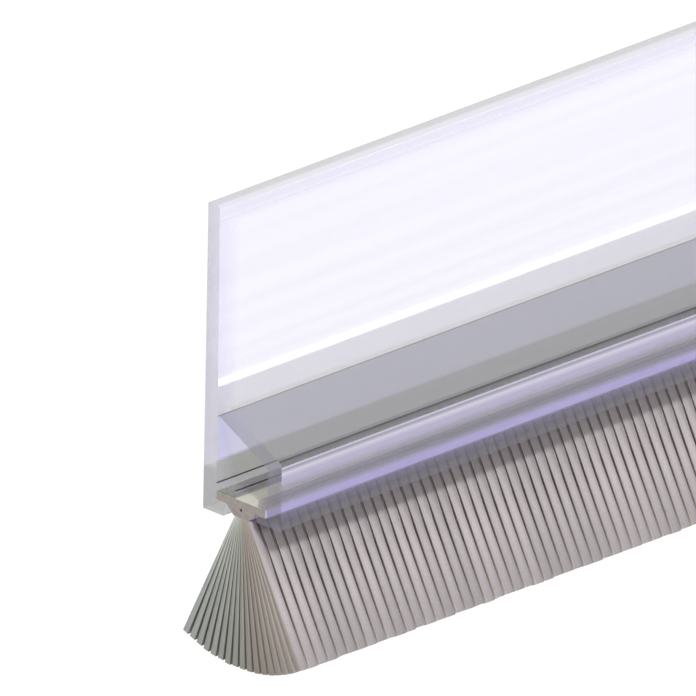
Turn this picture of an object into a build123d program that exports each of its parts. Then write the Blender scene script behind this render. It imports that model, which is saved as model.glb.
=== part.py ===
from build123d import *
import os
from math import cos, radians, sin, tan

os.makedirs("parts", exist_ok=True)

# Length runs along X, the door stands on the +Y side and the floor lies below
strip_length = 1000

# Plate that is fixed upright to the door face, a little thinner at its top
plate_height = 34
plate_foot_thickness = 1.85
plate_top_thickness = 1.65
plate_top_radius = 0.4

# Tape on the back of the plate, with a bare border at the top and at both ends
tape_thickness = 0.4
tape_foot_height = 4.8
tape_top_border = 2.8
tape_end_border = 0.5

# Channel at the foot of the plate, closed in front by a wall with a raised foot
pocket_width = 7.4
wall_thickness = 1.95
wall_foot_height = 0.7
wall_top_radius = 0.5

# Slanted web that closes the channel above, with a soft inner corner at the plate
web_thickness = 1.85
web_angle = 28
web_under_height = 11
web_fillet = 3

# Lips that carry the flange of the brush and ribs that hold it down
lip_top_height = 1.45
back_lip_reach = 1.4
back_lip_undercut = 0.25
front_lip_reach = 1.6
rib_thickness = 0.85
back_rib_reach = 2.8
front_rib_reach = 1.3

# Backing of the brush: a flange that slides in the channel, with a tapered root
flange_thickness = 0.9
flange_slip = 0.05
flange_front_gap = 0.3
root_side_gap = 0.1
root_foot_height = 0.5
root_foot_width = 2.1

# Wire through the root
wire_diameter = 0.34
wire_height = 1.37
wire_clearance = 0.02

# Bristles: a fan of filament bars that leans outward, in rows along the length
fan_apex_height = 2.3
fan_radius = 18.5
fan_lean = 1.8
bar_count = 17
bar_angle = 2.3
bar_gap_angle = 1
slit_top_radius = 10
row_spacing = 1.43
block_count = 3
row_ridge_depth = 0.25

# The origin lies in the middle of the tape's back face
tape_height = plate_height - tape_top_border - tape_foot_height
plate_foot_level = -tape_foot_height - tape_height / 2
section = Plane(
    origin=(0, -tape_thickness, plate_foot_level),
    x_dir=(0, -1, 0),
    z_dir=(-1, 0, 0),
)

# Distances out from the back of the plate and heights above its foot
pocket_front = plate_foot_thickness + pocket_width
wall_front = pocket_front + wall_thickness
rib_foot_height = lip_top_height + flange_thickness + 2 * flange_slip
rib_top_height = rib_foot_height + rib_thickness
web_slope = tan(radians(web_angle))
web_under_front_height = web_under_height - pocket_width * web_slope
web_top_height = web_under_height + web_thickness / cos(radians(web_angle))
wall_top_height = web_top_height - (pocket_width + wall_thickness) * web_slope
slot_back = plate_foot_thickness + back_lip_reach
slot_front = pocket_front - front_lip_reach
slot_middle = (slot_back + slot_front) / 2

# Clear carrier: plate, web, wall, ribs and lips in one extrusion
with BuildPart() as carrier_profile:
    with BuildSketch(section) as carrier_section:
        with BuildLine():
            Polyline(
                (0, 0),
                (0, plate_height),
                (plate_top_thickness, plate_height),
                (plate_foot_thickness, web_top_height),
                (wall_front, wall_top_height),
                (wall_front, wall_foot_height),
                (slot_front, wall_foot_height),
                (slot_front, lip_top_height),
                (pocket_front, lip_top_height),
                (pocket_front, rib_foot_height),
                (pocket_front - front_rib_reach, rib_foot_height),
                (pocket_front - front_rib_reach, rib_top_height),
                (pocket_front, rib_top_height),
                (pocket_front, web_under_front_height),
                (plate_foot_thickness, web_under_height),
                (plate_foot_thickness, rib_top_height),
                (plate_foot_thickness + back_rib_reach, rib_top_height),
                (plate_foot_thickness + back_rib_reach, rib_foot_height),
                (plate_foot_thickness, rib_foot_height),
                (plate_foot_thickness, lip_top_height),
                (slot_back, lip_top_height),
                (slot_back - back_lip_undercut, 0),
                close=True,
            )
        make_face()
        corners = carrier_section.vertices()
        plate_top_corner = corners.sort_by_distance((plate_top_thickness, plate_height))[0]
        fillet(plate_top_corner, radius=plate_top_radius)
        corners = carrier_section.vertices()
        web_corner = corners.sort_by_distance((plate_foot_thickness, web_top_height))[0]
        fillet(web_corner, radius=web_fillet)
        corners = carrier_section.vertices()
        wall_top_corner = corners.sort_by_distance((wall_front, wall_top_height))[0]
        fillet(wall_top_corner, radius=wall_top_radius)
    extrude(amount=strip_length / 2, both=True)

# Tape, with its back face at Y = 0 against the door
with BuildPart() as adhesive_tape:
    with BuildSketch(Plane.XZ):
        Rectangle(strip_length - 2 * tape_end_border, tape_height)
    extrude(amount=tape_thickness)

# Backing: flange in the channel and root through the slot, bored for the wire
flange_foot_height = lip_top_height + flange_slip
flange_top_height = flange_foot_height + flange_thickness
flange_back = plate_foot_thickness + flange_slip
flange_front = pocket_front - flange_front_gap
root_top_half = (slot_front - slot_back) / 2 - root_side_gap
with BuildPart() as brush_backing:
    with BuildSketch(section):
        with BuildLine():
            Polyline(
                (flange_back, flange_foot_height),
                (flange_back, flange_top_height),
                (flange_front, flange_top_height),
                (flange_front, flange_foot_height),
                (slot_middle + root_top_half, flange_foot_height),
                (slot_middle + root_foot_width / 2, root_foot_height),
                (slot_middle - root_foot_width / 2, root_foot_height),
                (slot_middle - root_top_half, flange_foot_height),
                close=True,
            )
        make_face()
        with Locations((slot_middle, wire_height)):
            Circle(wire_diameter / 2 + wire_clearance, mode=Mode.SUBTRACT)
    extrude(amount=strip_length / 2, both=True)

with BuildPart() as core_wire:
    with BuildSketch(section):
        with Locations((slot_middle, wire_height)):
            Circle(wire_diameter / 2)
    extrude(amount=strip_length / 2, both=True)


# Point of the fan at an angle from straight down and a distance from the apex
def on_fan(angle, distance):
    turned = radians(angle + fan_lean)
    return (slot_middle + distance * sin(turned), fan_apex_height - distance * cos(turned))


# Distance from the apex at which a line of the fan leaves the root
def root_distance(angle):
    return (fan_apex_height - root_foot_height) / cos(radians(angle + fan_lean))


# Outline of the fan: flat bar ends along the arc, with a slit after each bar but the last
half_angle = (bar_count * bar_angle + (bar_count - 1) * bar_gap_angle) / 2
fan_outline = [on_fan(half_angle, root_distance(half_angle))]
fan_outline.append(on_fan(-half_angle, root_distance(-half_angle)))
for bar in range(bar_count):
    bar_start = bar * (bar_angle + bar_gap_angle) - half_angle
    bar_end = bar_start + bar_angle
    fan_outline.append(on_fan(bar_start, fan_radius))
    fan_outline.append(on_fan(bar_end, fan_radius))
    if bar < bar_count - 1:
        fan_outline.append(on_fan(bar_end + bar_gap_angle / 2, slit_top_radius))

# Equal blocks of rows, with a whole number of rows in each
block_length = strip_length / block_count
rows_per_block = round(block_length / row_spacing)
row_pitch = block_length / rows_per_block

# Ridges of the rows on a flank: one peak a row, on the plane across that flank
beyond_fan = 2 * fan_radius
apex_level = plate_foot_level + fan_apex_height
apex_place = (0, -tape_thickness - slot_middle, apex_level)

# One block of rows, cut on both flanks by the ridge line
with BuildPart() as row_block:
    with BuildSketch(section):
        with BuildLine():
            Polyline(*fan_outline, close=True)
        make_face()
    extrude(amount=block_length / 2, both=True)
    for side in (-1, 1):
        flank_turn = radians(half_angle + side * fan_lean)
        across_flank = Plane(
            origin=apex_place,
            x_dir=(1, 0, 0),
            z_dir=(0, -side * sin(flank_turn), -cos(flank_turn)),
        )
        ridge_line = [(-block_length / 2, -side * row_ridge_depth)]
        for row in range(rows_per_block):
            row_start = row * row_pitch - block_length / 2
            ridge_line.append((row_start + row_pitch / 2, 0))
            ridge_line.append((row_start + row_pitch, -side * row_ridge_depth))
        ridge_line.append((block_length / 2, -side * beyond_fan))
        ridge_line.append((-block_length / 2, -side * beyond_fan))
        with BuildSketch(across_flank):
            with BuildLine():
                Polyline(*ridge_line, close=True)
            make_face()
        extrude(amount=beyond_fan, both=True, mode=Mode.INTERSECT)

with BuildPart() as bristles:
    with GridLocations(block_length, block_length, block_count, 1):
        add(row_block.part)

carrier_profile.part.label = "carrier_profile"
adhesive_tape.part.label = "adhesive_tape"
brush_backing.part.label = "brush_backing"
core_wire.part.label = "core_wire"
bristles.part.label = "bristles"

export_step(carrier_profile.part, "parts/carrier_profile.step")
export_step(adhesive_tape.part, "parts/adhesive_tape.step")
export_step(brush_backing.part, "parts/brush_backing.step")
export_step(core_wire.part, "parts/core_wire.step")
export_step(bristles.part, "parts/bristles.step")
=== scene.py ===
import math

import bpy
import numpy as np
from mathutils import Matrix, Vector


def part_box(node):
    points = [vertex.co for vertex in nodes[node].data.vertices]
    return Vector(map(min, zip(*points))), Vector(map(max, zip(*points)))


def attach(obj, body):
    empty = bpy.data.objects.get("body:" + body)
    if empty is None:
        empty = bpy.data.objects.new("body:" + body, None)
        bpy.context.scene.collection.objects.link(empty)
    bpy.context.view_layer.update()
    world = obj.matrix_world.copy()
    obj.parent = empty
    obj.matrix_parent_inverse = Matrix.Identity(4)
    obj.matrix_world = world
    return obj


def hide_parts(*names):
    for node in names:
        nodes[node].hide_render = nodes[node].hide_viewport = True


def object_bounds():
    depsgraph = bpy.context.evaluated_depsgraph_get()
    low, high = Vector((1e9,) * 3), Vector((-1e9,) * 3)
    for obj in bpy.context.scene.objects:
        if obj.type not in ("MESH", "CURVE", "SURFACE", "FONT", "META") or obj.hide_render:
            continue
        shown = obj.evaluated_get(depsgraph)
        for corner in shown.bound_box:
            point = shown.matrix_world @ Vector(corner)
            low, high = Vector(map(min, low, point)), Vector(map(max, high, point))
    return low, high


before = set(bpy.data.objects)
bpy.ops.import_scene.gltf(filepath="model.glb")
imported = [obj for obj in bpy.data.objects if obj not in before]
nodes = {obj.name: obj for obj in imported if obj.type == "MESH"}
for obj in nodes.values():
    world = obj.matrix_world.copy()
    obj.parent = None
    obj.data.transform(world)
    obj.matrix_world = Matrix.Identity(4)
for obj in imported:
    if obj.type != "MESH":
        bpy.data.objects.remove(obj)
cadLow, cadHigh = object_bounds()
print("frame loaded:", sorted(nodes))

millimetre = 0.001
plateLow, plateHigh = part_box("carrier_profile")
tapeLow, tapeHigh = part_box("adhesive_tape")
plateBack = plateHigh.y  # the back face of the plate, against which the tape lies
plateFoot = plateLow.z
stripStart, stripEnd = plateLow.x, plateHigh.x


def fromSection(out, up):
    # a place in the cross-section in mm: out from the plate's back and up from its foot
    return plateBack - np.asarray(out) * millimetre, plateFoot + np.asarray(up) * millimetre


def placed(name, mesh):
    # an object at the origin, its place in its points
    piece = bpy.data.objects.new(name, mesh)
    bpy.context.scene.collection.objects.link(piece)
    return piece


def meshPiece(name, points, faces, smoothAngle=None):
    mesh = bpy.data.meshes.new(name)
    mesh.from_pydata(np.asarray(points).tolist(), [], [list(map(int, face)) for face in faces])
    mesh.validate()
    mesh.update()
    if smoothAngle is not None:
        mesh.polygons.foreach_set("use_smooth", np.ones(len(mesh.polygons), bool))
        mesh.set_sharp_from_angle(angle=math.radians(smoothAngle))
    return placed(name, mesh)


def roundedOutline(corners, radii, steps, support=0.55):
    # each corner is replaced by an arc that touches both its sides: the centre lies on the corner's
    # halving line at radius / sin(half angle), and the arc turns by 180 degrees less the corner's angle;
    # a support point before and after the arc, this share of the radius away, keeps the straight sides'
    # shading flat
    corners = np.asarray(corners, float)
    outline = []
    for here, before, after, radius in zip(corners, np.roll(corners, 1, 0), np.roll(corners, -1, 0), radii):
        back = (before - here) / np.linalg.norm(before - here)
        on = (after - here) / np.linalg.norm(after - here)
        half = math.acos(np.clip(back @ on, -1, 1)) / 2
        middle = (back + on) / np.linalg.norm(back + on)
        centre = here + middle * radius / math.sin(half)
        first = here + back * radius / math.tan(half) - centre
        last = here + on * radius / math.tan(half) - centre
        turn = math.pi - 2 * half
        sweep = np.linspace(0, 1, steps)[:, None]
        arc = (np.sin((1 - sweep) * turn) * first + np.sin(sweep * turn) * last) / math.sin(turn)
        outline.append(first + centre + support * radius * back)
        outline.append(centre + arc)
        outline.append(last + centre + support * radius * on)
    return np.vstack(outline)


def carriedAlong(name, outline, caps, start, end, smoothAngle):
    # the outline is carried straight from start to end along X, with flat faces at both ends: each of
    # the caps is a list of the outline's points
    y, z = fromSection(outline[:, 0], outline[:, 1])
    count = len(outline)
    points = np.vstack([np.column_stack([np.full(count, x), y, z]) for x in (start, end)])
    ring = np.arange(count)
    nextOne = np.roll(ring, -1)
    faces = np.column_stack([ring, nextOne, nextOne + count, ring + count]).tolist()
    for cap in caps:
        faces += [cap[::-1].tolist(), (cap + count).tolist()]
    return meshPiece(name, points, faces, smoothAngle)


carrierShape = {
    "plateHeight": 34.0,
    "plateFootThickness": 1.85,
    "plateTopThickness": 1.65,
    "plateTopRadius": 0.4,
    "pocketWidth": 7.4,
    "wallThickness": 1.95,
    "wallFoot": 0.7,
    "wallTopRadius": 0.5,
    "webAngle": 28.0,
    "webThickness": 1.85,
    "webUnder": 11.0,
    "webUnderRadius": 0.2,
    "webFillet": 3.0,
    "lipTop": 1.45,
    "backLipReach": 1.4,
    "backLipUndercut": 0.25,
    "frontLipReach": 1.6,
    "ribFoot": 2.45,
    "ribTop": 3.3,
    "ribRadius": 0.12,
    "backRibReach": 2.8,
    "frontRibReach": 1.3,
    "edgeRadius": 0.12,
    "innerRadius": 0.08,
    "arcSteps": 7,
    "smoothAngle": 28,
}


def carrierOutline(shape):
    # plate, web, wall, lips and ribs as one line round the cross-section, with a radius at each corner:
    # widths add up outward from the plate's back, and the web falls outward by the tangent of its angle;
    # gives the line, the finish of each of its sides and the two parts of the cut end: the plate with
    # its rib and lip, and the web with the wall
    s = shape
    foot = s["plateFootThickness"]
    front = foot + s["pocketWidth"]
    outside = front + s["wallThickness"]
    slope = math.tan(math.radians(s["webAngle"]))
    webTop = s["webUnder"] + s["webThickness"] / math.cos(math.radians(s["webAngle"]))
    backLip, frontLip = foot + s["backLipReach"], front - s["frontLipReach"]
    backRib, frontRib = foot + s["backRibReach"], front - s["frontRibReach"]
    edge, inner, rib = s["edgeRadius"], s["innerRadius"], s["ribRadius"]
    # out, up, radius, the finish of the corner and that of the side after it
    corners = [
        (0, 0, edge, "back", "back"),
        (0, s["plateHeight"], edge, "plate", "plate"),
        (s["plateTopThickness"], s["plateHeight"], s["plateTopRadius"], "plate edge", "plate"),
        (foot, webTop, s["webFillet"], "fillet", "web"),
        # the wall's rounded top is painted dark, as shade, and the short side before it holds a painted dark
        # line
        (outside, webTop - (outside - foot) * slope, s["wallTopRadius"], "shoulder", "wall"),
        (outside, s["wallFoot"], edge, "wall", "under lip"),
        (frontLip, s["wallFoot"], edge, "under lip", "inside"),
        (frontLip, s["lipTop"], edge, "inside", "inside"),
        (front, s["lipTop"], inner, "inside", "inside"),
        (front, s["ribFoot"], inner, "inside", "inside"),
        (frontRib, s["ribFoot"], edge, "inside", "inside"),
        (frontRib, s["ribTop"], edge, "inside", "inside"),
        (front, s["ribTop"], inner, "inside", "inside"),
        (front, s["webUnder"] - s["pocketWidth"] * slope, inner, "inside", "inside"),
        # the grey line and the dark lines are painted shade, along the foot of the web's underside and the
        # rib's top
        (foot, s["webUnder"], s["webUnderRadius"], "grey line", "chamber"),
        (foot, s["ribTop"], rib, "dark line", "rib"),
        (backRib, s["ribTop"], rib, "dark line", "inside"),
        (backRib, s["ribFoot"], edge, "inside", "inside"),
        (foot, s["ribFoot"], inner, "inside", "inside"),
        (foot, s["lipTop"], inner, "inside", "inside"),
        (backLip, s["lipTop"], edge, "inside", "inside"),
        (backLip - s["backLipUndercut"], 0, edge, "inside", "foot"),
    ]
    outline = roundedOutline([c[:2] for c in corners], [c[2] for c in corners], s["arcSteps"])
    finishes = []
    for corner, before in zip(corners, corners[-1:] + corners[:-1]):
        # the short side before the arc, the arc, and the side after it, which is in two parts
        # before the wall's rounded top, the short side holds the painted dark line
        lead = "edge line" if corner[3] == "shoulder" else before[4]
        finishes += [lead, *[corner[3]] * (s["arcSteps"] - 1), corner[4], corner[4]]
    cornerFinishes = [corner[3] for corner in corners]
    cornerPoints = s["arcSteps"] + 2
    filletStart = cornerFinishes.index("fillet") * cornerPoints + 1
    underEnd = (cornerFinishes.index("grey line") + 1) * cornerPoints - 2
    line = np.arange(len(outline))
    return outline, finishes, [np.r_[line[:filletStart + 1], line[underEnd:]], line[filletStart:underEnd + 1]]


carrierLine, carrierFinish, carrierCaps = carrierOutline(carrierShape)
carrier = carriedAlong(
    "clear_carrier", carrierLine, carrierCaps, stripStart, stripEnd, carrierShape["smoothAngle"],
)
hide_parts("carrier_profile")
print("carrier made:", len(carrier.data.polygons), "faces")


tapeShape = {"gap": 0.02, "cornerRadius": 0.6, "cornerSteps": 8, "smoothAngle": 30}


def tapeStrip(name, shape):
    # a rounded rectangle in the plane of the door, carried from the tape's back to just off the plate
    left, right, foot, top = (v / millimetre for v in (tapeLow.x, tapeHigh.x, tapeLow.z, tapeHigh.z))
    corners = [(left, foot), (right, foot), (right, top), (left, top)]
    outline = roundedOutline(corners, [shape["cornerRadius"]] * 4, shape["cornerSteps"]) * millimetre
    count = len(outline)
    depths = (tapeLow.y + shape["gap"] * millimetre, tapeHigh.y)
    points = np.vstack([np.column_stack([outline[:, 0], np.full(count, y), outline[:, 1]]) for y in depths])
    ring = np.arange(count)
    nextOne = np.roll(ring, -1)
    faces = np.column_stack([ring, ring + count, nextOne + count, nextOne]).tolist()
    faces += [ring.tolist(), (ring + count)[::-1].tolist()]
    return meshPiece(name, points, faces, shape["smoothAngle"])


tape = tapeStrip("clear_tape_strip", tapeShape)
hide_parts("adhesive_tape")
print("tape made:", len(tape.data.polygons), "faces")


brushShape = {
    "apexOut": 5.45,
    "apexUp": 2.3,
    "radius": 18.5,
    "reachSpread": 0.12,  # how much shorter a bar may be, mm
    "lean": 1.8,
    "bars": 17,
    "barAngle": 2.3,
    "gapAngle": 1.0,
    "rows": 699,
    "slatShare": 0.72,  # depth of a bar along the strip, as a share of the pitch of the rows
    "coreBars": 5,  # the middle bars stand close row to row, so that no light falls straight through
    "coreShare": 0.99,
    "rootUp": 0.5,
    "seed": 7,
}


def brushRows(name, shape):
    # every bar is a wedge: its two sides are lines from the fan's apex, its top lies in the root,
    # its end is the chord between both sides on the arc, and it is one slat deep along the strip
    s = shape
    rng = np.random.default_rng(s["seed"])
    pitch = (stripEnd - stripStart) / s["rows"]
    half = (s["bars"] * s["barAngle"] + (s["bars"] - 1) * s["gapAngle"]) / 2
    rowStart = stripStart + np.arange(s["rows"]) * pitch * (1 + (1 - s["slatShare"]) / (s["rows"] - 1))
    barStart = -half + np.arange(s["bars"]) * (s["barAngle"] + s["gapAngle"])
    row, bar = [a.ravel() for a in np.meshgrid(np.arange(s["rows"]), np.arange(s["bars"]), indexing="ij")]
    core = np.abs(bar - (s["bars"] - 1) / 2) < s["coreBars"] / 2
    slat = pitch * np.where(core, s["coreShare"], s["slatShare"])
    reach = s["radius"] - rng.uniform(0, s["reachSpread"], len(row))
    # corners of a bar: side 0 or 1, top 0 or end 1, near 0 or far 1
    side, end, far = [a.ravel() for a in np.meshgrid([0, 1], [0, 1], [0, 1], indexing="ij")]
    # at the top the bars touch, and the gaps open towards the ends
    spread = np.where(end == 1, 0, s["gapAngle"] / 2) * np.where(side == 1, 1, -1)
    angle = np.radians(barStart[bar][:, None] + side * s["barAngle"] + spread + s["lean"])
    topReach = (s["apexUp"] - s["rootUp"]) / np.cos(angle)
    distance = np.where(end[None, :] == 1, reach[:, None], topReach)
    out = s["apexOut"] + distance * np.sin(angle)
    up = s["apexUp"] - distance * np.cos(angle)
    y, z = fromSection(out, up)
    x = np.clip(rowStart[row][:, None] + far * slat[:, None], stripStart, stripEnd)
    points = np.stack([x, y, z], axis=-1).reshape(-1, 3)
    barFaces = np.array([
        [0, 1, 3, 2], [4, 6, 7, 5], [0, 2, 6, 4], [1, 5, 7, 3], [2, 3, 7, 6], [0, 4, 5, 1],
    ])
    faces = (np.arange(len(row))[:, None, None] * 8 + barFaces).reshape(-1, 4)
    # a bar's sides lie inside the brush (1), with a painted shade, but for those at the strip's ends and
    # on the door's side (0) and those on the front flank (2)
    finishOf = np.zeros((len(row), 6), np.int32)
    finishOf[:, 0] = bar > 0
    finishOf[:, 1] = np.where(bar < s["bars"] - 1, 1, 2)
    finishOf[:, 2] = row > 0
    finishOf[:, 3] = row < s["rows"] - 1
    mesh = bpy.data.meshes.new(name)
    mesh.vertices.add(len(points))
    mesh.vertices.foreach_set("co", points.astype(np.float32).ravel())
    mesh.loops.add(faces.size)
    mesh.loops.foreach_set("vertex_index", faces.astype(np.int32).ravel())
    mesh.polygons.add(len(faces))
    mesh.polygons.foreach_set("loop_start", np.arange(0, faces.size, 4, dtype=np.int32))
    mesh.polygons.foreach_set("material_index", finishOf.ravel())
    mesh.update(calc_edges=True)
    mesh.validate()
    # place along the strip, share of the way across the fan and distance from its apex
    across = np.broadcast_to((barStart[bar] / (2 * half) + 0.5)[:, None], x.shape)
    place = np.stack([x, across, distance * millimetre], axis=-1).astype(np.float32)
    mesh.attributes.new("fanPlace", "FLOAT_VECTOR", "POINT").data.foreach_set("vector", place.ravel())
    tone = np.repeat(rng.uniform(0, 1, len(row)), 8).astype(np.float32)
    mesh.attributes.new("barTone", "FLOAT", "POINT").data.foreach_set("value", tone)
    return placed(name, mesh)


brush = brushRows("bristle_rows", brushShape)
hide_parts("bristles")
print("brush made:", len(brush.data.polygons), "faces")

for piece in (carrier, tape, brush):
    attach(piece, "root")


class Finish:
    # the node tree of a material or of the world, with short calls to add and join nodes
    def __init__(self, owner, outputKind="ShaderNodeOutputMaterial"):
        owner.use_nodes = True
        self.owner = owner
        self.tree = owner.node_tree
        self.tree.nodes.clear()
        self.output = self.add(outputKind)

    def add(self, kind, **values):
        node = self.tree.nodes.new(kind)
        for key, value in values.items():
            if hasattr(node, key):
                setattr(node, key, value)
            else:
                node.inputs[key.replace("_", " ")].default_value = value
        return node

    def join(self, source, target):
        self.tree.links.new(source, target)

    def calculate(self, operation, first, second=None):
        # a Math node on one or two values, each a socket or a plain number
        node = self.add("ShaderNodeMath", operation=operation)
        for socket, value in zip(node.inputs, (first, second)):
            if isinstance(value, bpy.types.NodeSocket):
                self.join(value, socket)
            elif value is not None:
                socket.default_value = value
        return node.outputs[0]

    def spread(self, source, **limits):
        # a value brought from one range to another
        node = self.add("ShaderNodeMapRange", **limits)
        self.join(source, node.inputs["Value"])
        return node.outputs["Result"]

    def colourMix(self, kind, factor, first, second):
        node = self.add("ShaderNodeMix", data_type="RGBA", blend_type=kind)
        if isinstance(factor, bpy.types.NodeSocket):
            self.join(factor, node.inputs["Factor"])
        else:
            node.inputs["Factor"].default_value = factor
        self.join(first, node.inputs["A"])
        self.join(second, node.inputs["B"])
        return node.outputs["Result"]

    def shaderMix(self, factor, first, second):
        node = self.add("ShaderNodeMixShader")
        for source, socket in zip((factor, first, second), node.inputs):
            self.join(source, socket)
        return node.outputs[0]

    def parted(self, vector):
        node = self.add("ShaderNodeSeparateXYZ")
        self.join(vector, node.inputs[0])
        return node.outputs

    def bumped(self, height, strength, distance, shader):
        # a fine relief on a shader's normal
        bump = self.add("ShaderNodeBump", Strength=strength, Distance=distance * millimetre)
        self.join(height, bump.inputs["Height"])
        self.join(bump.outputs["Normal"], shader.inputs["Normal"])

    def close(self, shader):
        self.join(shader, self.output.inputs["Surface"])
        return self.owner


def materialFinish(name):
    return Finish(bpy.data.materials.new(name))


noiseLow, noiseHigh = 0.3, 0.7  # the part of a noise's values over which its two tones change

def ramp(finish, source, stops):
    # a colour ramp on a value: each stop is (place, colour) or (place, colour, cover), and the cover
    # goes out as alpha
    node = finish.add("ShaderNodeValToRGB")
    elements = node.color_ramp.elements
    while len(elements) < len(stops):
        elements.new(0.5)
    for element, (place, colour, *cover) in zip(elements, stops):
        element.position = place
        element.color = (*colour, *(cover or [1]))
    finish.join(source, node.inputs["Fac"])
    return node.outputs["Color"], node.outputs["Alpha"]


def greyRamp(finish, source, stops):
    return ramp(finish, source, [(place, (tone, tone, tone)) for place, tone in stops])[0]


def bands(finish, distance, stops):
    # own colour and cover that change softly with a distance: (mm, colour, cover) from low to high
    low, high = stops[0][0], stops[-1][0]
    span = finish.spread(distance, From_Min=low * millimetre, From_Max=high * millimetre)
    shares = [((place - low) / (high - low), colour, cover) for place, colour, cover in stops]
    return ramp(finish, span, shares)


def stretchedNoise(finish, vector, scale, stretch, detail=3.0):
    # noise drawn out along one direction, as extruding or combing leaves it
    mapping = finish.add("ShaderNodeMapping")
    mapping.inputs["Scale"].default_value = stretch
    finish.join(vector, mapping.inputs["Vector"])
    noise = finish.add("ShaderNodeTexNoise", Scale=scale, Detail=detail)
    finish.join(mapping.outputs["Vector"], noise.inputs["Vector"])
    return noise.outputs["Fac"]


def clearPlastic(name, look):
    # part of the light goes straight on through each face, the more the squarer it meets the face, and
    # the rest is the face's own lit tone with painted light and shade in it: both may change in bands up
    # the section and in from the ends
    finish = materialFinish(name)
    place = finish.add("ShaderNodeTexCoord").outputs["Object"]
    streaks = stretchedNoise(finish, place, look["streakScale"], (0.01, 1, 1))
    parts = finish.parted(place)
    height = finish.calculate("SUBTRACT", parts["Z"], plateFoot)
    colour, share = bands(finish, height, look["up"])
    if "in" in look:
        fromEnd = finish.calculate("SUBTRACT", stripEnd, finish.calculate("ABSOLUTE", parts["X"]))
        endColour, endShare = bands(finish, fromEnd, look["in"])
        colour = finish.colourMix("MIX", endShare, colour, endColour)
        share = finish.calculate("MAXIMUM", share, endShare)
    own = finish.add("ShaderNodeBsdfDiffuse")
    streakTone = greyRamp(finish, streaks, [(noiseLow, look["streakTone"]), (noiseHigh, 1)])
    finish.join(finish.colourMix("MULTIPLY", 1.0, colour, streakTone), own.inputs["Color"])
    through = finish.add("ShaderNodeBsdfTransparent")
    duller = tuple(look["streakThrough"] * part for part in look["through"])
    clearTone, _ = ramp(finish, streaks, [(noiseLow, duller), (noiseHigh, look["through"])])
    finish.join(clearTone, through.inputs["Color"])
    facing = finish.add("ShaderNodeLayerWeight", Blend=look["facingBlend"]).outputs["Facing"]
    tilt = finish.spread(facing, To_Min=look["square"], To_Max=look["edge"])
    cover = finish.calculate("MULTIPLY", tilt, share)
    # lamps are held back by their own share of the cover
    lampRay = finish.add("ShaderNodeLightPath").outputs["Is Shadow Ray"]
    lampPass = finish.spread(lampRay, To_Min=1.0, To_Max=look["lampShare"])
    body = finish.shaderMix(
        finish.calculate("MULTIPLY", cover, lampPass), through.outputs[0], own.outputs[0],
    )
    gloss = finish.add("ShaderNodeBsdfGlossy", Roughness=look["roughness"])
    finish.bumped(streaks, *look["relief"], gloss)
    # only the outer side of a face mirrors: a face seen from inside the plastic has no gloss
    inward = finish.add("ShaderNodeNewGeometry").outputs["Backfacing"]
    outer = finish.spread(inward, To_Min=look["gloss"], To_Max=0.0)
    fresnel = finish.add("ShaderNodeFresnel", IOR=look["refraction"]).outputs[0]
    mirror = finish.calculate("MULTIPLY", fresnel, outer)
    return finish.close(finish.shaderMix(mirror, body, gloss.outputs[0]))


def filament(name, look):
    # filament bars: the tone goes from the door's side of the fan to its front, with fine lines
    # along each bar, and every bar a little darker or lighter
    finish = materialFinish(name)
    parts = finish.parted(finish.add("ShaderNodeAttribute", attribute_name="fanPlace").outputs["Vector"])
    barTone = finish.add("ShaderNodeAttribute", attribute_name="barTone").outputs["Fac"]
    place = finish.add("ShaderNodeTexCoord").outputs["Object"]
    lines = stretchedNoise(finish, place, look["lineScale"], (1, 1, 0.05))
    colour, _ = ramp(finish, parts["Y"], look["across"])
    low, high = look["toneEnds"]
    tones = [(lines, low, high, look["lineTone"]), (barTone, low, high, look["barTone"])]
    if "rootTone" in look:
        # painted shade: darker towards the root, near the carrier, over a few millimetres of the distance
        # from the fan's apex
        near, far = look["rootReach"]
        span = finish.spread(parts["Z"], From_Min=near * millimetre, From_Max=far * millimetre)
        tones.append((span, 0, 1, look["rootTone"]))
    for source, start, end, darkest in tones:
        tone = greyRamp(finish, source, [(start, darkest), (end, 1)])
        colour = finish.colourMix("MULTIPLY", 1.0, colour, tone)
    surface = finish.add("ShaderNodeBsdfPrincipled", Roughness=look["roughness"])
    finish.join(colour, surface.inputs["Base Color"])
    finish.bumped(lines, *look["relief"], surface)
    return finish.close(surface.outputs[0])


def dullSolid(name, look):
    # an opaque finish with a slow change of tone and a fine grain in its bump; faces that look to the
    # front or up may get a lighter tone of painted light
    finish = materialFinish(name)
    place = finish.add("ShaderNodeTexCoord").outputs["Object"]
    cloud = stretchedNoise(finish, place, look["grainScale"], look["stretch"])
    colour, _ = ramp(finish, cloud, [(noiseLow, look["dark"]), (noiseHigh, look["light"])])
    for side, axis, way in (("front", "Y", -1), ("top", "Z", 1)):
        if side in look:
            begins, full = (way * part for part in look["sideTurn"])
            normal = finish.parted(finish.add("ShaderNodeNewGeometry").outputs["Normal"])
            faces = finish.spread(normal[axis], From_Min=begins, From_Max=full)
            sideDark, sideLight = look[side]
            paintedSideLight, _ = ramp(finish, cloud, [(noiseLow, sideDark), (noiseHigh, sideLight)])
            colour = finish.colourMix("MIX", faces, colour, paintedSideLight)
    surface = finish.add("ShaderNodeBsdfPrincipled", Roughness=look["roughness"], Metallic=look["metal"])
    finish.join(colour, surface.inputs["Base Color"])
    finish.bumped(cloud, *look["relief"], surface)
    return finish.close(surface.outputs[0])


def plain(colour, cover=1.0):
    # the same colour and cover at every height of the section
    return [(0, colour, cover), (40, colour, cover)]


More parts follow.
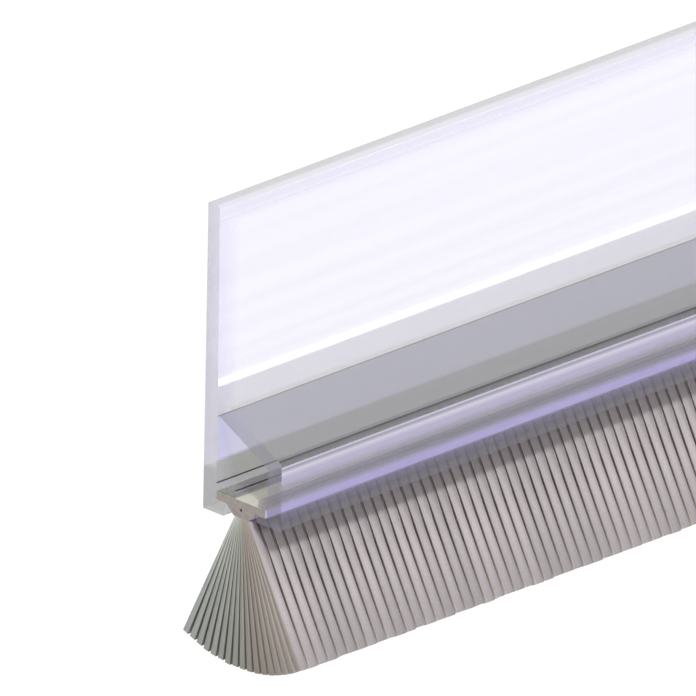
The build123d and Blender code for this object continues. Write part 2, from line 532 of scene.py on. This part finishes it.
# square and edge are the cover of a face that is met squarely and along its surface, and relief is the
# strength of the bump and its depth in mm
clearLook = {
    "through": (0.995, 0.995, 1.0),
    "square": 0.18,
    "edge": 0.52,
    "facingBlend": 0.35,
    "gloss": 0.3,
    "refraction": 1.49,
    "roughness": 0.12,
    "relief": (0.05, 0.1),
    "streakScale": 900.0,
    "streakTone": 0.93,
    "streakThrough": 0.985,
    "lampShare": 0.9,
}
# painted light and shade: the carrier is one clear plastic, and its parts get tones and covers set apart by
# how light falls on them, light lilac on the plate's front, grey on the web and the cut ends, darker inside
# the pocket, with painted dark lines and painted highlights
plasticLooks = {
    "plate": {
        **clearLook, "square": 0.03, "edge": 0.2, "through": (0.974, 0.967, 0.993), "gloss": 0.6,
        "up": [
            (0, (0.72, 0.7, 0.95), 1.0), (33.55, (0.72, 0.7, 0.95), 1.0),
            # painted shade: at the top the plate turns greyer and more covered, on its top face
            (33.75, (0.5, 0.5, 0.47), 3.0), (34, (0.5, 0.5, 0.47), 3.0),
        ],
    },
    "plate edge": {**clearLook, "square": 0.08, "edge": 0.3, "gloss": 0.04, "up": plain((0.6, 0.6, 0.62))},
    "back": {
        **clearLook, "square": 0.4, "edge": 0.9,
        "up": [
            (0, (0.17, 0.18, 0.07), 1.0), (4.6, (0.17, 0.18, 0.07), 1.0), (5.0, (0.6, 0.6, 0.85), 0.03),
            (30.6, (0.6, 0.6, 0.85), 0.03), (31.8, (0.59, 0.57, 0.8), 0.65), (34, (0.5, 0.5, 0.5), 0.9),
        ],
        "in": [(0, (0.6, 0.57, 0.9), 0.7), (2.6, (0.6, 0.57, 0.9), 0.45), (5, (0.6, 0.57, 0.9), 0.0)],
    },
    "foot": {**clearLook, "square": 0.25, "edge": 0.6, "up": plain((0.55, 0.55, 0.48))},
    "fillet": {
        **clearLook, "square": 0.32, "edge": 0.7, "gloss": 2.0, "roughness": 0.17,
        "up": plain((0.28, 0.28, 0.36)),
    },
    "web": {
        **clearLook, "square": 0.36, "edge": 0.76, "gloss": 2.0, "through": (0.995, 0.995, 0.97),
        "up": plain((0.25, 0.25, 0.27)),
    },
    "wall": {
        **clearLook, "square": 0.25, "edge": 0.62, "lampShare": 1.3,
        # painted light and shade in bands up the wall: grey shade low down, a band of lilac painted light, a
        # darker band, and bright lilac painted highlights just under the rounded top
        "up": [
            (0.7, (0.2, 0.19, 0.19), 1.0), (1.7, (0.2, 0.2, 0.22), 0.9), (2.2, (0.36, 0.34, 0.48), 0.8),
            (2.8, (0.48, 0.45, 0.62), 0.95), (3.2, (0.54, 0.49, 0.8), 1.0), (3.8, (0.48, 0.44, 0.74), 1.0),
            (4.6, (0.3, 0.29, 0.34), 1.0), (5.3, (0.35, 0.34, 0.46), 1.0), (6.2, (0.66, 0.6, 0.95), 1.1),
            (7.1, (0.9, 0.85, 1.0), 1.7), (7.5, (0.48, 0.45, 0.63), 1.2), (7.72, (0.85, 0.82, 1.0), 1.7),
            (7.95, (0.3, 0.29, 0.38), 1.2),
        ],
    },
    "inside": {**clearLook, "square": 0.15, "edge": 0.45, "up": plain((0.30, 0.28, 0.36))},
    "under lip": {
        **clearLook, "square": 0.15, "edge": 0.45, "lampShare": 2.6,
        "up": plain((0.30, 0.28, 0.36)),
    },
    "chamber": {
        **clearLook, "square": 0.36, "edge": 0.7, "through": (0.99, 0.99, 1.0),
        "up": [
            (0, (0.3, 0.3, 0.28), 1.0), (5.6, (0.3, 0.3, 0.28), 1.0),
            (6.1, (0.43, 0.42, 0.82), 1.0), (12, (0.43, 0.42, 0.82), 1.0),
        ],
    },
    "rib": {**clearLook, "square": 0.2, "edge": 0.6, "up": plain((0.28, 0.28, 0.3))},
    # painted shade: a dark band on the wall's rounded top, and dark or grey painted lines along the rib's
    # top, at the foot of the web's underside and on the web just before the wall's top
    "shoulder": {**clearLook, "square": 0.35, "edge": 0.75, "up": plain((0.05, 0.05, 0.06))},
    "dark line": {**clearLook, "square": 0.85, "edge": 1.0, "gloss": 0.1, "up": plain((0.03, 0.03, 0.03))},
    "edge line": {**clearLook, "square": 0.6, "edge": 0.9, "gloss": 0.1, "up": plain((0.03, 0.03, 0.03))},
    "grey line": {**clearLook, "square": 0.5, "edge": 0.8, "gloss": 0.1, "up": plain((0.1, 0.1, 0.1))},
    "plate end": {
        **clearLook, "square": 0.3, "edge": 0.75, "gloss": 0.2, "roughness": 0.4,
        "up": [
            (0, (0.28, 0.29, 0.25), 1.0), (4.7, (0.28, 0.29, 0.25), 1.0),
            (5.2, (0.52, 0.51, 0.55), 1.0), (34, (0.55, 0.54, 0.58), 1.0),
        ],
    },
    "web end": {
        **clearLook, "square": 0.36, "edge": 0.76, "gloss": 0.2, "roughness": 0.4,
        "up": [
            (0.7, (0.34, 0.32, 0.36), 0.75), (7, (0.37, 0.35, 0.45), 0.75), (8.5, (0.37, 0.37, 0.41), 0.85),
            (11, (0.37, 0.37, 0.41), 0.85), (14, (0.38, 0.38, 0.44), 0.65),
        ],
    },
}
tapeLook = {
    **clearLook, "square": 0.02, "edge": 0.12, "through": (0.993, 0.987, 1.0), "gloss": 0.1,
    "roughness": 0.5, "up": plain((0.93, 0.9, 1.0)),
}
filamentLook = {
    "across": [
        (0.0, (0.61, 0.64, 0.59)), (0.4, (0.44, 0.44, 0.385)), (0.6, (0.45, 0.395, 0.345)),
        (1.0, (0.44, 0.385, 0.34)),
    ],
    "toneEnds": (0.25, 0.75),
    "lineTone": 0.8,
    "barTone": 0.9,
    "lineScale": 9000.0,
    "roughness": 0.6,
    "relief": (0.3, 0.05),
}
# the front flank's lighter, pinker tone is partly the filament's colour and partly painted light on faces
# that look to the front; towards the root it takes a painted shade
frontLook = {
    **filamentLook, "across": [(0.0, (0.485, 0.44, 0.45)), (1.0, (0.485, 0.44, 0.45))],
    "rootTone": 0.78, "rootReach": (6.0, 11.0),
}
# painted shade: the faces inside the brush are darker, as the shade among the bars, darkest on the door's
# side and lighter towards the front flank
innerShadeLook = {
    **filamentLook,
    "across": [
        (0.0, (0.16, 0.16, 0.15)), (0.4, (0.13, 0.13, 0.12)), (0.6, (0.27, 0.23, 0.19)),
        (0.9, (0.6, 0.53, 0.49)), (1.0, (0.75, 0.68, 0.65)),
    ],
}
backingLook = {
    "dark": (0.30, 0.265, 0.235),
    "light": (0.38, 0.34, 0.31),
    # painted light: the front face lit lilac and the top face lighter, as light falls on them through the
    # clear carrier
    "front": [(0.5, 0.44, 0.8), (0.6, 0.54, 0.9)],
    "top": [(0.57, 0.56, 0.46), (0.68, 0.66, 0.56)],
    "sideTurn": (0.6, 0.8),
    "grainScale": 2500.0,
    "stretch": (0.05, 1, 1),
    "roughness": 0.6,
    "relief": (0.2, 0.05),
    "metal": 0.0,
}
wireLook = {
    "dark": (0.05, 0.05, 0.05),
    "light": (0.12, 0.11, 0.11),
    "grainScale": 3000.0,
    "stretch": (0.05, 1, 1),
    "roughness": 0.4,
    "relief": (0.2, 0.05),
    "metal": 1.0,
}

for kind, look in plasticLooks.items():
    carrier.data.materials.append(clearPlastic("clear plastic " + kind, look))
kinds = list(plasticLooks)
capFinish = ["plate end", "plate end", "web end", "web end"]
carrier.data.polygons.foreach_set("material_index", [kinds.index(k) for k in carrierFinish + capFinish])
tape.data.materials.append(clearPlastic("clear tape", tapeLook))
brushLooks = (
    ("brush filament", filamentLook),
    ("brush filament inside painted shade", innerShadeLook),
    ("brush filament front", frontLook),
)
for name, look in brushLooks:
    brush.data.materials.append(filament(name, look))
nodeLooks = (("brush_backing", "brush backing", backingLook), ("core_wire", "core wire", wireLook))
for nodeName, name, look in nodeLooks:
    nodes[nodeName].data.materials.clear()
    nodes[nodeName].data.materials.append(dullSolid(name, look))
print("finishes made")


studio = {
    "floorDrop": 0.60,
    "floorSize": 12.0,
    "floorColour": (0.82, 0.82, 0.83, 1),
    "floorWhite": 1.08,
    "floorWhiteShare": 0.8,
    "worldStrength": 0.45,
    "keyStrength": 2.56,
    "keyAngle": 7.0,
    "keyFrom": (-0.35, -0.66, 0.84),
    "stripTowards": (0.66, -0.739, -0.139),
    "stripFrom": (35, 14),  # the place on the plate that the strip light faces: along and up, mm
    "stripDistance": 1.6,
    "stripSize": (0.12, 0.55),
    "stripPower": 2.6,
}


def seenDirectly(finish):
    # 1 for rays that look at the backdrop, straight or in a reflection, and 0 for those that light the object
    path = finish.add("ShaderNodeLightPath").outputs
    mirrored = finish.calculate("MAXIMUM", path["Is Camera Ray"], path["Is Glossy Ray"])
    return finish.calculate("MAXIMUM", mirrored, path["Is Transmission Ray"])


def studioFloor(name, look):
    # a matt floor that looks white to the camera and can't be seen from below
    height = cadLow.z - look["floorDrop"]
    half = look["floorSize"] / 2
    corners = [(-half, -half, height), (half, -half, height), (half, half, height), (-half, half, height)]
    piece = meshPiece(name, corners, [(0, 1, 2, 3)])
    finish = materialFinish("studio floor")
    matt = finish.add("ShaderNodeBsdfDiffuse", Color=look["floorColour"])
    white = finish.add("ShaderNodeEmission", Color=(1, 1, 1, 1), Strength=look["floorWhite"])
    share = finish.calculate("MULTIPLY", seenDirectly(finish), look["floorWhiteShare"])
    upper = finish.shaderMix(share, matt.outputs[0], white.outputs[0])
    below = finish.add("ShaderNodeNewGeometry").outputs["Backfacing"]
    clear = finish.add("ShaderNodeBsdfTransparent").outputs[0]
    piece.data.materials.append(finish.close(finish.shaderMix(below, upper, clear)))
    return piece


def studioWorld(name, look):
    # white where it is seen, and softer where it lights the object
    world = bpy.data.worlds.new(name)
    bpy.context.scene.world = world
    sky = Finish(world, "ShaderNodeOutputWorld")
    backdrop = sky.add("ShaderNodeBackground", Color=(1, 1, 1, 1))
    level = sky.spread(seenDirectly(sky), To_Min=look["worldStrength"], To_Max=1.0)
    sky.join(level, backdrop.inputs["Strength"])
    sky.close(backdrop.outputs[0])


def lamp(name, kind, strength, towards):
    # a light that shines from the way it stands towards
    light = placed(name, bpy.data.lights.new(name, kind))
    light.data.energy = strength
    light.rotation_mode = "QUATERNION"
    light.rotation_quaternion = Vector(towards).to_track_quat("Z", "Y")
    return light


studioFloor("floor", studio)
studioWorld("studio", studio)
key = lamp("key", "SUN", studio["keyStrength"], studio["keyFrom"])
key.data.angle = math.radians(studio["keyAngle"])

# a narrow upright strip light low in front, whose reflection runs along the fillet between plate and web
stripWay = Vector(studio["stripTowards"]).normalized()
stripLight = lamp("strip light", "AREA", studio["stripPower"], stripWay)
stripLight.data.shape = "RECTANGLE"
stripLight.data.size, stripLight.data.size_y = studio["stripSize"]
along, up = (v * millimetre for v in studio["stripFrom"])
facedPlace = Vector((stripStart + along, plateBack, plateFoot + up))
stripLight.location = facedPlace + stripWay * studio["stripDistance"]
stripLight.visible_camera = False


cameraLook = {
    "azimuth": -45.64,
    "elevation": 22.53,
    "roll": 1.011,
    "pixelsPerMillimetre": 9.744,
    "anchorPixel": (203.04, 507.8),
    "imageSize": 696,
    "distance": 1.5,
    "clip": (0.01, 50),
}


def photoCamera(look):
    # parallel view: the foot of the plate's near end is put at its pixel in the photo
    around, above, roll = (math.radians(look[k]) for k in ("azimuth", "elevation", "roll"))
    back = Vector((
        math.sin(around) * math.cos(above), -math.cos(around) * math.cos(above), math.sin(above),
    ))
    right = Vector((0, 0, 1)).cross(back).normalized()
    up = back.cross(right)
    right, up = (
        right * math.cos(roll) + up * math.sin(roll), up * math.cos(roll) - right * math.sin(roll),
    )
    scale = millimetre / look["pixelsPerMillimetre"]
    middle = look["imageSize"] / 2
    shiftRight = (middle - look["anchorPixel"][0]) * scale
    shiftUp = (middle - look["anchorPixel"][1]) * scale
    place = Vector((stripStart, plateBack, plateFoot)) + right * shiftRight - up * shiftUp
    camera = placed("camera", bpy.data.cameras.new("camera"))
    camera.data.type = "ORTHO"
    camera.data.ortho_scale = look["imageSize"] * scale
    camera.data.clip_start, camera.data.clip_end = look["clip"]
    turn = Matrix((right, up, back)).transposed().to_4x4()
    camera.matrix_world = Matrix.Translation(place + back * look["distance"]) @ turn
    bpy.context.scene.camera = camera


photoCamera(cameraLook)
bpy.context.scene.view_settings.view_transform = "Standard"
print("studio made")
